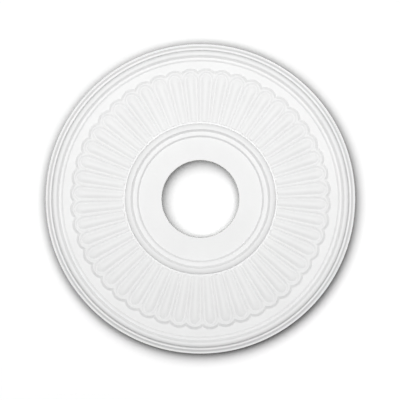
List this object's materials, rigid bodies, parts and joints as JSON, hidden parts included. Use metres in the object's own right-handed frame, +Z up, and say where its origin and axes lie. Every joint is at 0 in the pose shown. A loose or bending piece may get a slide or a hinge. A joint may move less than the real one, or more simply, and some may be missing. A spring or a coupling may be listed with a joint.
{
  "type": "ceiling rose",
  "caption": "Round moulded ceiling rose: plain centre ring with a lamp hole, a rayed band of reeded flutes with scalloped ends, and a stepped round rim.",
  "frame": {"origin": "centre of the flat back face, in the plane of the ceiling, on the axis of the lamp hole", "axes": "+Z up along the axis of the lamp hole, out of the back and into the ceiling; the decorated face looks down along -Z; +X runs along a rib between two flutes"},
  "size_m": [0.4, 0.4, 0.018],
  "materials": {
    "primed_polyurethane": "matt white factory primer on rigid moulded polyurethane foam, ready for paint"
  },
  "bodies": {
    "root": {"ceiling_rose": "primed_polyurethane"}
  },
  "joints": []
}
